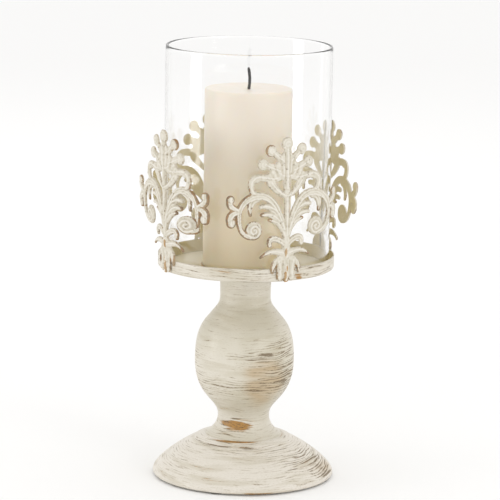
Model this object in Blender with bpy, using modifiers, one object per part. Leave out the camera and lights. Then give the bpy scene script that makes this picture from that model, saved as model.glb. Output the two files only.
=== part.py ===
"""Pillar candle holder: a pedestal with a leaf gallery, a pillar candle and a glass cylinder.

The pedestal is three sheet-metal pieces, a domed base, a hollow baluster stem and a shallow tray,
clamped together by one long bolt. Four folded openwork leaf panels are brazed to the outside of
the tray's rim. The candle and the glass cylinder stand loose on the tray.

Dimensions are in millimetres and become metres where a mesh is made. Z is up, the object stands
on Z = 0 and its axis is the Z axis. Leaf panels 1 to 4 face -Y, +X, +Y and -X.
"""
import bmesh
import bpy
import numpy as np
from math import cos, hypot, pi, radians, sin, sqrt, tan
from mathutils import Vector

MM = 0.001
GAP = 0.3                 # air left between pieces that touch
WELD = 0.00001            # merge distance, in metres
FLAT_WELD = 0.0001        # merge distance across the flat panel's middle line, in millimetres
FLAT_SNAP = 0.01          # the flat panel's points this close together, or to that line, are joined
SHARP_ANGLE = radians(35.0)    # a round piece is shaded smooth except at corners above this

# Feet and base
PAD_R = 5.5
PAD_H = 1.2
PAD_CENTRE_R = 71.0
BASE_R = 78.5
BASE_SHEET = 1.2
BASE_RIM_Z = PAD_H + GAP
BASE_FLANGE_R = 64.0
BASE_RIM_ROUND = 1.0
BASE_TOP_Z = 37.6
BASE_CAP_R = 42.0         # the raised cap under the stem's foot ends here
BASE_CAP_Z = 33.6
BASE_STEP = 0.9

# Stem
STEM_SHEET = 1.5
STEM_FOOT_R = 30.0
STEM_FOOT_Z = BASE_TOP_Z + GAP
STEM_WAIST_R = 22.3
STEM_WAIST_Z = 53.0
STEM_BULB_R = 43.0
STEM_BULB_Z = 103.0
STEM_SHOULDER_R = 31.3
STEM_SHOULDER_Z = 141.0
STEM_NECK_R = 21.9
STEM_NECK_Z = 158.0
STEM_MOUTH_R = 24.0

# Tray
TRAY_R = 76.0
TRAY_SHEET = 1.0
TRAY_PLATE_Z = 185.9      # upper face of the plate
TRAY_RIM_TOP_Z = 196.4
TRAY_CORNER = 2.0
DIMPLE_DEPTH = 3.8
DIMPLE_FLOOR_R = 9.6
DIMPLE_MOUTH_R = 14.0

# Bolt, washers, nut and discs
BOLT_R = 3.0
BOLT_HOLE_R = 3.4
BOLT_HEAD_R = 6.4
BOLT_HEAD_H = 2.0
BOLT_END_Z = 23.0
HEAD_WASHER_R = 8.6
HEAD_WASHER_H = 0.8
DISC_H = 3.0
FOOT_DISC_Z = 52.0
CLAMP_WASHER_R = 16.0
CLAMP_WASHER_H = 2.0
LOCK_WASHER_R = 5.6
LOCK_WASHER_H = 1.5
LOCK_WASHER_SPLIT = 1.0
NUT_FLATS = 10.0
NUT_H = 5.0

# Candle and wick
CANDLE_R = 37.7
CANDLE_H = 153.5
CANDLE_EDGE = 1.6
WICK_R = 1.15
WICK_HOLE_R = 1.5
WICK_START_H = 2.0        # above the candle's foot
WICK_BENDS = ((0.0, -1.0), (0.8, 4.0), (0.9, 8.5), (0.3, 13.0), (-0.6, 17.5))

# Glass cylinder
GLASS_R = 71.5
GLASS_WALL = 2.2
GLASS_H = 190.0
GLASS_LIP = 0.7

# Leaf panels
PANEL_COUNT = 4
PANEL_SHEET = 1.2
PANEL_BEND_START = 11.5        # the brazed tab is curved like the rim up to this height
PANEL_BEND_END = 24.0          # and the fold is full from here up
PANEL_GRID = 0.8
PANEL_TOLERANCE = 0.6
PANEL_HALF_WIDTH = 60.0
PANEL_TOP = 124.0
# Each panel is set by hand: its place round the rim, the folds of its left and right wings and how
# far it leans out, in degrees, then the slopes of its right volute and of its right curls
PANEL_BENDS = ((-1.2, 1.0, 12.8, -0.6, 0.0, 0.6), (0.0, 2.5, 7.0, 2.6, 0.0, 0.0),
               (0.0, 7.0, 7.0, 2.0, 0.0, 0.0), (0.6, 4.0, 11.9, 2.0, 0.6, 0.2))
VOLUTE = (30.5, 45.2)
VOLUTE_REACH = (8.0, 15.0)     # wholly within the first radius, not at all past the second
CURL_HINGE = 44.0

# Segments around the axis
FINE = 40
MEDIUM = 32
COARSE = 16


# ---------------------------------------------------------------- general helpers

def clear_scene():
    for obj in list(bpy.data.objects):
        bpy.data.objects.remove(obj, do_unlink=True)


def make_collection(name, hidden=False):
    group = bpy.data.collections.new(name)
    group.hide_render = hidden
    bpy.context.scene.collection.children.link(group)
    return group


def make_material(name, colour, roughness, metallic=0.0, alpha=1.0):
    mat = bpy.data.materials.new(name)
    mat.use_nodes = True
    shader = mat.node_tree.nodes["Principled BSDF"]
    shader.inputs["Base Color"].default_value = (*colour, 1.0)
    shader.inputs["Roughness"].default_value = roughness
    shader.inputs["Metallic"].default_value = metallic
    shader.inputs["Alpha"].default_value = alpha
    mat.diffuse_color = (*colour, alpha)
    return mat


def make_object(name, mesh, mat, group):
    obj = bpy.data.objects.new(name, mesh)
    obj.data.materials.append(mat)
    group.objects.link(obj)
    return obj


def move_to(obj, group):
    for owner in list(obj.users_collection):
        owner.objects.unlink(obj)
    group.objects.link(obj)


def evaluated_mesh(obj):
    """The object's mesh with its modifiers applied; the object itself is removed."""
    bpy.context.scene.collection.objects.link(obj)
    bpy.context.view_layer.update()
    evaluated = obj.evaluated_get(bpy.context.evaluated_depsgraph_get())
    mesh = bpy.data.meshes.new_from_object(evaluated)
    bpy.data.objects.remove(obj, do_unlink=True)
    return mesh


def shade_round(mesh):
    mesh.shade_smooth()
    mesh.set_sharp_from_angle(angle=SHARP_ANGLE)


def cubic(p0, p1, p2, p3, steps):
    """Points along a cubic Bezier curve, both ends included."""
    ends = [np.array(p, dtype=float) for p in (p0, p1, p2, p3)]
    points = []
    for t in np.linspace(0.0, 1.0, steps + 1):
        s = 1.0 - t
        points.append(s**3 * ends[0] + 3*s*s*t * ends[1] + 3*s*t*t * ends[2] + t**3 * ends[3])
    return points


def shell_profile(outer, thickness):
    """Closed profile of a sheet whose outside face is outer, listed from the top downwards."""
    outer = [np.array(p, dtype=float) for p in outer]
    inner = []
    for i, point in enumerate(outer):
        ahead = outer[min(i + 1, len(outer) - 1)]
        behind = outer[max(i - 1, 0)]
        step = (ahead - behind) / np.linalg.norm(ahead - behind)
        inner.append(point + thickness * np.array((step[1], -step[0])))
    return outer + inner[::-1]


def turned(name, profile, steps, mat, group, closed=True):
    """A turned piece: a profile of (radius, height) points carried round Z by a Screw modifier."""
    verts = [(r * MM, 0.0, z * MM) for r, z in profile]
    edges = [(i, i + 1) for i in range(len(verts) - 1)]
    if closed:
        edges.append((len(verts) - 1, 0))
    outline = bpy.data.meshes.new(name + "_profile")
    outline.from_pydata(verts, edges, [])
    lathe = bpy.data.objects.new(name + "_profile", outline)
    screw = lathe.modifiers.new("turn", "SCREW")
    screw.axis = "Z"
    screw.angle = 2 * pi
    screw.steps = steps
    screw.render_steps = steps
    screw.use_merge_vertices = True
    screw.merge_threshold = WELD
    mesh = evaluated_mesh(lathe)
    mesh.name = name
    shade_round(mesh)
    return make_object(name, mesh, mat, group)


def ring_profile(outer_r, inner_r, low_z, high_z):
    return [(outer_r, high_z), (outer_r, low_z), (inner_r, low_z), (inner_r, high_z)]


def cylinder(name, radius, low_z, high_z, sides, mat, group, centre=(0.0, 0.0)):
    bpy.ops.mesh.primitive_cylinder_add(
        vertices=sides,
        radius=radius * MM,
        depth=(high_z - low_z) * MM,
        location=(centre[0] * MM, centre[1] * MM, (low_z + high_z) / 2 * MM))
    obj = bpy.context.object
    obj.name = name
    obj.data.materials.append(mat)
    shade_round(obj.data)
    move_to(obj, group)
    return obj


def cut(obj, cutter):
    cutter.display_type = "WIRE"
    cutter.hide_render = True
    boolean = obj.modifiers.new("cut " + cutter.name, "BOOLEAN")
    boolean.operation = "DIFFERENCE"
    boolean.solver = "EXACT"
    boolean.object = cutter


# ---------------------------------------------------------------- pedestal

def base_dome(mat, group):
    """Domed foot: a flat seat for the stem, a raised cap, the skirt and an inward flange."""
    skirt_top = (BASE_CAP_R + 0.4, BASE_CAP_Z - BASE_STEP)
    outer = [(BOLT_HOLE_R, BASE_TOP_Z)]
    outer += cubic((25.0, BASE_TOP_Z), (31.0, BASE_TOP_Z), (37.0, BASE_CAP_Z + 2.2),
                   (BASE_CAP_R, BASE_CAP_Z), 3)
    outer += cubic(skirt_top, (58.0, skirt_top[1] - 7.0), (BASE_R, 9.6), (BASE_R, 3.2), 7)
    corner = BASE_RIM_ROUND
    for k in range(3):
        angle = k / 2 * pi / 2
        outer.append((BASE_R - corner + corner * cos(angle),
                      BASE_RIM_Z + corner - corner * sin(angle)))
    outer.append((BASE_FLANGE_R, BASE_RIM_Z))
    return turned("base_dome", shell_profile(outer, BASE_SHEET), MEDIUM + 4, mat, group)


def stem_outline():
    """Outside of the baluster from its mouth, under the tray, down to its foot."""
    mouth_z = TRAY_PLATE_Z - TRAY_SHEET - GAP
    neck = (STEM_NECK_R, STEM_NECK_Z)
    shoulder = (STEM_SHOULDER_R, STEM_SHOULDER_Z)
    bulb = (STEM_BULB_R, STEM_BULB_Z)
    waist = (STEM_WAIST_R, STEM_WAIST_Z)
    foot = (STEM_FOOT_R, STEM_FOOT_Z + STEM_SHEET)
    outline = cubic((STEM_MOUTH_R, mouth_z), (STEM_NECK_R, mouth_z - 8.0),
                    (STEM_NECK_R, STEM_NECK_Z + 8.0), neck, 2)
    outline += cubic(neck, (STEM_NECK_R, STEM_NECK_Z - 7.5),
                     (STEM_SHOULDER_R - 5.0, STEM_SHOULDER_Z + 7.0), shoulder, 4)[1:]
    outline += cubic(shoulder, (STEM_SHOULDER_R + 8.5, STEM_SHOULDER_Z - 9.0),
                     (STEM_BULB_R, STEM_BULB_Z + 19.0), bulb, 4)[1:]
    outline += cubic(bulb, (STEM_BULB_R, STEM_BULB_Z - 34.0),
                     (STEM_WAIST_R, STEM_WAIST_Z + 15.0), waist, 7)[1:]
    outline += cubic(waist, (STEM_WAIST_R, STEM_WAIST_Z - 6.0),
                     (STEM_WAIST_R + 3.4, foot[1] + 3.8), foot, 4)[1:]
    return outline


def stem(mat, group):
    outer = stem_outline()
    inner = shell_profile(outer, STEM_SHEET)[len(outer):]
    foot_inner_r = STEM_FOOT_R - 3.0
    lip = [(STEM_FOOT_R, STEM_FOOT_Z), (foot_inner_r, STEM_FOOT_Z)]
    keep = [p for p in inner[:-1] if p[1] > STEM_FOOT_Z + 1.0][::2]
    keep.append(np.array((inner[-1][0], outer[0][1])))
    return turned("stem", outer + lip + keep, MEDIUM, mat, group)


def stem_bore(height):
    """Inside radius of the stem at a height, read off its outline."""
    outline = stem_outline()[::-1]
    radius = np.interp(height, [p[1] for p in outline], [p[0] for p in outline])
    return float(radius) - STEM_SHEET


def stem_disc(name, low_z, mat, group):
    narrow = min(stem_bore(low_z), stem_bore(low_z + DISC_H / 2), stem_bore(low_z + DISC_H))
    profile = ring_profile(narrow - GAP - 0.2, BOLT_HOLE_R, low_z, low_z + DISC_H)
    return turned(name, profile, MEDIUM, mat, group)


def tray(mat, group):
    """Shallow pan with an upright rim, and a pressed dimple that hides the bolt's head."""
    under = TRAY_PLATE_Z - TRAY_SHEET
    floor = TRAY_PLATE_Z - DIMPLE_DEPTH
    slope = 0.4
    inside_r = TRAY_R - TRAY_SHEET
    rounding = TRAY_CORNER
    outer = [(TRAY_R - 0.3, TRAY_RIM_TOP_Z), (TRAY_R, TRAY_RIM_TOP_Z - 0.3)]
    for k in range(4):
        angle = k / 3 * pi / 2
        outer.append((TRAY_R - rounding + rounding * cos(angle),
                      under + rounding - rounding * sin(angle)))
    outer += [(DIMPLE_MOUTH_R - slope, under),
              (DIMPLE_FLOOR_R - slope, floor - TRAY_SHEET),
              (BOLT_HOLE_R, floor - TRAY_SHEET)]
    inner = [(BOLT_HOLE_R, floor), (DIMPLE_FLOOR_R, floor), (DIMPLE_MOUTH_R, TRAY_PLATE_Z)]
    small = rounding - TRAY_SHEET
    for k in range(3):
        angle = k / 2 * pi / 2
        inner.append((inside_r - small + small * sin(angle),
                      TRAY_PLATE_Z + small - small * cos(angle)))
    inner += [(inside_r, TRAY_RIM_TOP_Z - 0.3), (inside_r + 0.3, TRAY_RIM_TOP_Z)]
    return turned("tray", outer + inner, FINE, mat, group)


def felt_pads(mat, group):
    for k in range(4):
        angle = pi / 4 + k * pi / 2
        centre = (PAD_CENTRE_R * cos(angle), PAD_CENTRE_R * sin(angle))
        cylinder(f"felt_pad_{k + 1}", PAD_R, 0.0, PAD_H, COARSE, mat, group, centre)


# ---------------------------------------------------------------- clamping hardware

def bolt_stack(steel, group, cutters):
    """The bolt, the washers at both ends, and the nut, each clear of its neighbour."""
    floor = TRAY_PLATE_Z - DIMPLE_DEPTH
    washer_z = floor + GAP
    turned("head_washer",
           ring_profile(HEAD_WASHER_R, BOLT_HOLE_R, washer_z, washer_z + HEAD_WASHER_H),
           COARSE + 4, steel, group)

    head_z = washer_z + HEAD_WASHER_H + GAP
    bolt = [(0.0, head_z + BOLT_HEAD_H), (BOLT_HEAD_R - 1.2, head_z + BOLT_HEAD_H),
            (BOLT_HEAD_R, head_z + BOLT_HEAD_H - 1.1), (BOLT_HEAD_R, head_z), (BOLT_R, head_z),
            (BOLT_R, BOLT_END_Z + 0.8), (BOLT_R - 0.8, BOLT_END_Z), (0.0, BOLT_END_Z)]
    turned("tie_bolt", bolt, COARSE, steel, group, closed=False)

    clamp_top = BASE_TOP_Z - BASE_SHEET - GAP
    lock_top = clamp_top - CLAMP_WASHER_H - GAP
    nut_top = lock_top - LOCK_WASHER_H - GAP
    turned("clamp_washer",
           ring_profile(CLAMP_WASHER_R, BOLT_HOLE_R, clamp_top - CLAMP_WASHER_H, clamp_top),
           COARSE + 8, steel, group)

    lock = turned("lock_washer",
                  ring_profile(LOCK_WASHER_R, BOLT_HOLE_R, lock_top - LOCK_WASHER_H, lock_top),
                  COARSE, steel, group)
    bpy.ops.mesh.primitive_cube_add(size=1.0)
    split = bpy.context.object
    split.name = "lock_washer_split"
    split.scale = (LOCK_WASHER_R * MM, LOCK_WASHER_SPLIT * MM, 2 * LOCK_WASHER_H * MM)
    split.location = ((LOCK_WASHER_R / 2 + 1.0) * MM, 0.0, (lock_top - LOCK_WASHER_H / 2) * MM)
    move_to(split, cutters)
    cut(lock, split)

    corner_r = NUT_FLATS / sqrt(3)
    nut = cylinder("clamp_nut", corner_r, nut_top - NUT_H, nut_top, 6, steel, group)
    bore = cylinder("nut_bore", BOLT_R + GAP, nut_top - NUT_H - 1, nut_top + 1, COARSE, steel,
                    cutters)
    cut(nut, bore)


# ---------------------------------------------------------------- candle and glass

def candle(mat, group):
    low = TRAY_PLATE_Z + GAP
    high = low + CANDLE_H
    profile = [(WICK_HOLE_R, high - 0.6), (WICK_HOLE_R + 5.0, high)]
    for k in range(4):
        angle = k / 3 * pi / 2
        profile.append((CANDLE_R - CANDLE_EDGE + CANDLE_EDGE * sin(angle),
                        high - CANDLE_EDGE + CANDLE_EDGE * cos(angle)))
    profile += [(CANDLE_R, low + 0.8), (CANDLE_R - 0.8, low), (WICK_HOLE_R, low)]
    return turned("candle", profile, MEDIUM, mat, group)


def wick(mat, group):
    """Cord through the whole candle, standing up and bending a little above the wax."""
    top = TRAY_PLATE_Z + GAP + CANDLE_H
    route = [(0.0, TRAY_PLATE_Z + GAP + WICK_START_H)]
    route += [(x, top + z) for x, z in WICK_BENDS]
    curve = bpy.data.curves.new("wick", "CURVE")
    curve.dimensions = "3D"
    curve.bevel_depth = WICK_R * MM
    curve.bevel_resolution = 2
    curve.use_fill_caps = True
    spline = curve.splines.new("POLY")
    spline.points.add(len(route) - 1)
    for point, (x, z) in zip(spline.points, route):
        point.co = (x * MM, 0.0, z * MM, 1.0)
    return make_object("wick", curve, mat, group)


def glass_cylinder(mat, group):
    low = TRAY_PLATE_Z + GAP
    high = low + GLASS_H
    inner_r = GLASS_R - GLASS_WALL
    lip = GLASS_LIP
    profile = [(GLASS_R - lip, high), (GLASS_R, high - lip), (GLASS_R, low + lip),
               (GLASS_R - lip, low), (inner_r + lip, low), (inner_r, low + lip),
               (inner_r, high - lip), (inner_r + lip, high)]
    return turned("glass_cylinder", profile, FINE, mat, group)


# ---------------------------------------------------------------- leaf panels

# The right half of the panel as strokes of a broad pen: each is a run of Bezier control points
# (across, up) and the pen's half width along it. The left half is its mirror image.
LEAF_STROKES = (
    # the tab on the rim: its middle bead, the strips beside it and the drops outside them
    (((0, 14), (0, 1.8)), (3.2, 2.2)),
    (((0, 17.5), (0, 12)), (9.5, 8.0)),
    (((5.4, 16), (5.4, 3.9)), (3.6, 3.1)),
    (((5, 20), (11, 18), (13, 12), (12.3, 8)), (3.0, 2.6, 1.0)),
    # the stalk
    (((0, 18), (0, 34)), (7.0, 3.2)),
    (((0, 30), (0, 58)), (3.4, 2.6)),
    (((0, 58), (0, 90)), (2.2, 3.6)),
    # two small leaves at its foot
    (((2, 24.5), (9, 27), (17, 28), (23.6, 21.8)), (3.2, 2.4, 0.9)),
    (((1.5, 32), (5.5, 37), (17.5, 41), (15.6, 32.4)), (2.4, 2.7, 2.3)),
    # the ribs of the big leaf
    (((1, 38), (4, 48), (9, 52), (16.3, 53.4)), (2.2, 2.2, 1.3)),
    (((1, 42), (6, 54), (13, 60), (23, 58)), (2.6, 3.2, 1.6)),
    (((1, 44), (7, 60), (14, 67), (24, 65)), (2.6, 3.4, 2.0)),
    # the scroll: out over the top, down the outside and back to its round end
    (((1, 42), (6, 60), (13, 75.5), (28, 74.2)), (2.2, 3.0, 3.4)),
    (((28, 74.2), (41, 73), (47, 63), (43.8, 51)), (3.4, 3.0, 2.3)),
    (((43.8, 51), (42, 43), (36, 38.5), (30, 41)), (2.3, 2.3, 3.0)),
    (((30.5, 45.2), (30.5, 45.4)), (7.9, 7.9)),
    # the lobe that hangs inside the scroll, and the two curls outside it
    (((27, 72), (33, 71), (35, 66), (33.6, 58.6)), (3.0, 3.0, 1.4)),
    (((44.5, 63), (48, 65), (54, 66), (52.6, 72)), (2.3, 3.1, 2.7)),
    (((51.9, 72.2), (51.9, 72.4)), (3.8, 3.8)),
    (((45, 61), (51.5, 62), (54, 56.5), (51.2, 52)), (2.6, 3.7, 3.3)),
    (((51.0, 52.8), (51.0, 53.0)), (4.3, 4.3)),
    # the side arm that loops back to the scroll
    (((9, 90), (16, 87.5), (22, 90), (28.4, 89.4)), (4.0, 3.2, 2.9)),
    (((23, 89.6), (23.1, 89.6)), (3.0, 3.0)),
    (((28.4, 88.6), (35, 88.5), (34.4, 79), (29.5, 75.5)), (3.5, 2.8, 2.6)),
    # the calyx and the body of the palmette
    (((0, 73), (4, 74), (9.5, 77), (15, 85.5)), (2.5, 2.4, 4.0)),
    (((0, 96), (0, 105)), (10.4, 6.4)),
    (((5, 92.8), (15, 88.6)), (6.0, 4.8)),
    (((6, 98), (13, 94)), (5.2, 3.4)),
    # its five fingers, each ending in a ball
    (((0, 104), (0, 117)), (4.2, 2.7)),
    (((0, 116.9), (0, 117.5)), (5.4, 5.4)),
    (((3, 103), (8, 106), (11, 109), (14.6, 112)), (3.8, 2.8, 2.4)),
    (((15.0, 111.9), (15.1, 112.0)), (4.9, 4.9)),
    (((6, 95), (12, 96.5), (16.5, 99), (21.8, 101)), (4.6, 3.4, 2.5)),
    (((22.1, 100.6), (22.2, 100.6)), (4.9, 4.9)),
)


def stroke_path(points):
    if len(points) == 2:
        return [np.array(p, dtype=float) for p in points]
    return cubic(*points, steps=12)


def distance_to_strokes(u, v):
    """Signed distance from each (u, v) to the edge of the nearest stroke, negative inside."""
    nearest = np.full(u.shape, 1e6)
    for points, widths in LEAF_STROKES:
        path = stroke_path(points)
        along = np.linspace(0.0, 1.0, len(path))
        pen = np.interp(along, np.linspace(0.0, 1.0, len(widths)), widths)
        for a, b, pen_a, pen_b in zip(path, path[1:], pen, pen[1:]):
            step = b - a
            t = ((u - a[0]) * step[0] + (v - a[1]) * step[1]) / np.dot(step, step)
            t = np.clip(t, 0.0, 1.0)
            reach = np.hypot(u - a[0] - t * step[0], v - a[1] - t * step[1])
            nearest = np.minimum(nearest, reach - pen_a - t * (pen_b - pen_a))
    return nearest


def simplify(points, tolerance):
    """Drop the points of an open run that lie within the tolerance of their chord."""
    if len(points) < 3:
        return points
    start, end = points[0], points[-1]
    chord = end - start
    length = np.linalg.norm(chord)
    offsets = [abs(chord[0] * (p[1] - start[1]) - chord[1] * (p[0] - start[0])) / length
               for p in points]
    far = int(np.argmax(offsets))
    if offsets[far] < tolerance:
        return [start, end]
    return simplify(points[:far + 1], tolerance)[:-1] + simplify(points[far:], tolerance)


def boundary_loops(bm):
    """The closed loops of edges that have a face on one side only, as lists of (u, v)."""
    left = {edge for edge in bm.edges if edge.is_boundary}
    loops = []
    while left:
        edge = left.pop()
        first = edge.verts[0]
        vert = edge.verts[1]
        loop = [first]
        while vert is not first:
            loop.append(vert)
            edge = next(e for e in vert.link_edges if e in left)
            left.remove(edge)
            vert = edge.other_vert(vert)
        loops.append([np.array(v.co[:2]) for v in loop])
    return loops


def half_panel_loops():
    """Outline and holes of the right half, plus a strip past the middle for the mirror to cut."""
    overlap = 2.0
    columns = int((PANEL_HALF_WIDTH + overlap) / PANEL_GRID)
    rows = int(PANEL_TOP / PANEL_GRID)
    bm = bmesh.new()
    bmesh.ops.create_grid(bm, x_segments=columns, y_segments=rows, size=0.5)
    u = np.array([(v.co.x + 0.5) * columns * PANEL_GRID - overlap for v in bm.verts])
    v = np.array([(v.co.y + 0.5) * rows * PANEL_GRID for v in bm.verts])
    depth = distance_to_strokes(np.abs(u), v)
    for vert, across, up, height in zip(bm.verts, u, v, depth):
        vert.co = (across, up, height)
    bmesh.ops.triangulate(bm, faces=bm.faces[:])
    bmesh.ops.bisect_plane(bm, geom=bm.verts[:] + bm.edges[:] + bm.faces[:],
                           plane_co=(0, 0, 0), plane_no=(0, 0, 1), clear_outer=True)
    loops = []
    for loop in boundary_loops(bm):
        half = len(loop) // 2
        first = simplify(loop[:half + 1], PANEL_TOLERANCE)
        second = simplify(loop[half:] + loop[:1], PANEL_TOLERANCE)
        loops.append(first[:-1] + second[:-1])
    bm.free()
    return loops


def flat_panel_mesh():
    """Flat panel cut from the sheet, as a mesh in millimetres: u, v and the sheet's depth."""
    curve = bpy.data.curves.new("half_panel", "CURVE")
    curve.dimensions = "2D"
    curve.fill_mode = "BOTH"
    curve.extrude = PANEL_SHEET / 2
    for loop in half_panel_loops():
        spline = curve.splines.new("POLY")
        spline.points.add(len(loop) - 1)
        for point, (across, up) in zip(spline.points, loop):
            point.co = (across, up, 0.0, 1.0)
        spline.use_cyclic_u = True
    bm = bmesh.new()
    bm.from_mesh(evaluated_mesh(bpy.data.objects.new("half_panel", curve)))
    bmesh.ops.remove_doubles(bm, verts=bm.verts[:], dist=FLAT_SNAP)
    bmesh.ops.bisect_plane(bm, geom=bm.verts[:] + bm.edges[:] + bm.faces[:],
                           plane_co=(0, 0, 0), plane_no=(1, 0, 0), clear_inner=True)
    for height in np.linspace(PANEL_BEND_START, PANEL_BEND_END, 4):
        bmesh.ops.bisect_plane(bm, geom=bm.verts[:] + bm.edges[:] + bm.faces[:],
                               plane_co=(0, height, 0), plane_no=(0, 1, 0))
    for vert in bm.verts:
        if vert.co.x < FLAT_SNAP:
            vert.co.x = 0.0
    bmesh.ops.remove_doubles(bm, verts=bm.verts[:], dist=FLAT_SNAP)
    half = bpy.data.meshes.new("half_panel")
    bm.to_mesh(half)
    bm.free()
    whole = bpy.data.objects.new("flat_panel", half)
    mirror = whole.modifiers.new("other half", "MIRROR")
    mirror.use_axis = (True, False, False)
    mirror.merge_threshold = FLAT_WELD
    return evaluated_mesh(whole)


def fold_point(u, v, depth, bends):
    """Place a point of the flat panel on the folded one: the tab hugs the rim, the wings fold."""
    left, right, lean = [tan(radians(angle)) for angle in bends[1:4]]
    twist, curl = bends[4:]
    t = min(max((v - PANEL_BEND_START) / (PANEL_BEND_END - PANEL_BEND_START), 0.0), 1.0)
    fade = t * t * (3 - 2 * t)
    crease = TRAY_R + GAP + PANEL_SHEET / 2 + max(v - PANEL_BEND_START, 0.0) * lean
    inward = (1 - fade) * u * u / (2 * TRAY_R)
    inward += fade * (max(u, 0.0) * right + max(-u, 0.0) * left)
    away = hypot(u - VOLUTE[0], v - VOLUTE[1])
    near = (VOLUTE_REACH[1] - away) / (VOLUTE_REACH[1] - VOLUTE_REACH[0])
    near = min(max(near, 0.0), 1.0)
    inward += twist * (u - VOLUTE[0]) * near * near * (3 - 2 * near)
    inward += curl * max(u - CURL_HINGE, 0.0)
    rim_z = TRAY_PLATE_Z - TRAY_SHEET
    return Vector((u * MM, -(crease - inward + depth) * MM, (rim_z + v) * MM))


def leaf_panels(mat, group):
    """Four panels of one outline round the rim, each folded and then bent a little its own way."""
    flat = flat_panel_mesh()
    for k in range(PANEL_COUNT):
        name = f"leaf_panel_{k + 1}"
        bm = bmesh.new()
        bm.from_mesh(flat)
        for vert in bm.verts:
            vert.co = fold_point(vert.co.x, vert.co.y, vert.co.z, PANEL_BENDS[k])
        bmesh.ops.recalc_face_normals(bm, faces=bm.faces[:])
        mesh = bpy.data.meshes.new(name)
        bm.to_mesh(mesh)
        bm.free()
        panel = make_object(name, mesh, mat, group)
        place = k * 2 * pi / PANEL_COUNT + radians(PANEL_BENDS[k][0])
        panel.rotation_euler = (0.0, 0.0, place)


# ---------------------------------------------------------------- assembly

def main():
    clear_scene()
    parts = make_collection("pillar_candle_holder")
    cutters = make_collection("cutters", hidden=True)

    cream = make_material("cream_paint", (0.72, 0.68, 0.60), 0.45)
    leaf_paint = make_material("leaf_paint", (0.70, 0.66, 0.56), 0.5)
    steel = make_material("zinc_steel", (0.55, 0.55, 0.53), 0.35, metallic=1.0)
    felt = make_material("felt", (0.10, 0.09, 0.08), 0.95)
    wax = make_material("ivory_wax", (0.86, 0.79, 0.66), 0.4)
    cotton = make_material("wick_cotton", (0.03, 0.03, 0.03), 0.9)
    glass = make_material("clear_glass", (0.95, 0.97, 0.97), 0.03, alpha=0.25)

    felt_pads(felt, parts)
    base_dome(cream, parts)
    stem(cream, parts)
    stem_disc("foot_disc", FOOT_DISC_Z, steel, parts)
    neck_disc_z = TRAY_PLATE_Z - DIMPLE_DEPTH - TRAY_SHEET - GAP - DISC_H
    stem_disc("neck_disc", neck_disc_z, steel, parts)
    tray(cream, parts)
    bolt_stack(steel, parts, cutters)
    leaf_panels(leaf_paint, parts)
    candle(wax, parts)
    wick(cotton, parts)
    glass_cylinder(glass, parts)


main()
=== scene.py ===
"""Looks of the pillar candle holder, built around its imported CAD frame.

Sizes are in millimetres and become metres where a mesh is made. Z is up and the axis is Z.
The turned pieces are fine versions of the CAD ones, the leaf panels are pressed sheets with the
relief of their scrolls, and every material is made of shader nodes.
"""
from math import cos, pi, radians, sin, tan

import bmesh
import bpy
import numpy as np
from mathutils import Matrix, Vector, noise


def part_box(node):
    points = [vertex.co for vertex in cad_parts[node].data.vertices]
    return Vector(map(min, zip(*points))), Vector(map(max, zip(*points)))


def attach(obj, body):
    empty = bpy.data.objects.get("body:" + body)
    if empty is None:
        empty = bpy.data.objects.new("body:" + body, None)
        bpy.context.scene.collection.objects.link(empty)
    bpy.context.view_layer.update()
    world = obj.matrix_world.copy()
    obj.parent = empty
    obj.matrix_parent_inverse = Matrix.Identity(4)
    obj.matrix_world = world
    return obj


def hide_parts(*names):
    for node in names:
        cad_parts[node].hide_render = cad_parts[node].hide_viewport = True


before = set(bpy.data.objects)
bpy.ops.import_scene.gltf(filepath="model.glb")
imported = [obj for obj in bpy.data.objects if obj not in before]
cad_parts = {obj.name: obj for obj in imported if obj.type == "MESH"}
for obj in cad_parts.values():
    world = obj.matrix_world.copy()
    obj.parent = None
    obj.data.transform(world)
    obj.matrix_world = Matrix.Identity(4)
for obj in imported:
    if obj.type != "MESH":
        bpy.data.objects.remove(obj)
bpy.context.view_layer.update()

MM = 0.001
GAP = 0.3

# ---------------- sizes

# Base and stem: what their CAD boxes don't say. A pair is (radius, height).
BASE_SHEET = 1.2
BASE_FLANGE_R = 64.0
BASE_RIM_ROUND = 1.6
BASE_CAP_R = 42.0
BASE_CAP_Z = 33.6
BASE_STEP = 0.9            # drop of the ledge at the cap's end
BASE_FLAT_R = 21.0         # the top is flat up to this radius
BOLT_HOLE_R = 3.4
STEM_SHEET = 1.5
STEM_FLARE = (33.2, 36.65)        # the foot's thin edge, pressed down on the cap
STEM_WAIST = (22.3, 53.0)
STEM_BULB_Z = 103.0
STEM_SHOULDER = (31.3, 141.0)
STEM_NECK = (21.9, 158.0)
STEM_MOUTH_R = 24.0

# Tray
TRAY_SHEET = 1.0
TRAY_CORNER = 2.0
DIMPLE_FLOOR_R = 8.6
DIMPLE_MOUTH_R = 15.2
WALL_FACING = -0.2         # below this, a face's outward lean times its radius means inner wall
PLATE_FACING = 0.5         # above this, a face's upward lean means plate

# Candle, wick and glass
CANDLE_EDGE = 2.0
CANDLE_FOOT_EDGE = 0.8
CANDLE_SWELL = 0.25        # unevenness of the wax, on the side and on the top
WICK_HOLE_R = 1.5
WICK_R = 1.4
WICK_STRANDS = 3
WICK_PITCH = 4.2
WICK_SIDES = 27
WICK_BENDS = ((0.0, -1.0), (0.8, 4.0), (0.9, 8.5), (0.3, 13.0), (-0.6, 17.5))
GLASS_WALL = 2.2
GLASS_END = 4.0            # the wall's rows of points stop this far from its ends

# Leaf panels
PANEL_COUNT = 4
PANEL_SHEET = 1.2
PANEL_BEND_START = 11.5    # the tab is curved like the rim up to this height
PANEL_BEND_END = 24.0      # and the fold is full from here up
PANEL_GRID = 0.55
PANEL_HALF_WIDTH = 60.0
PANEL_TOP = 124.0
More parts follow.
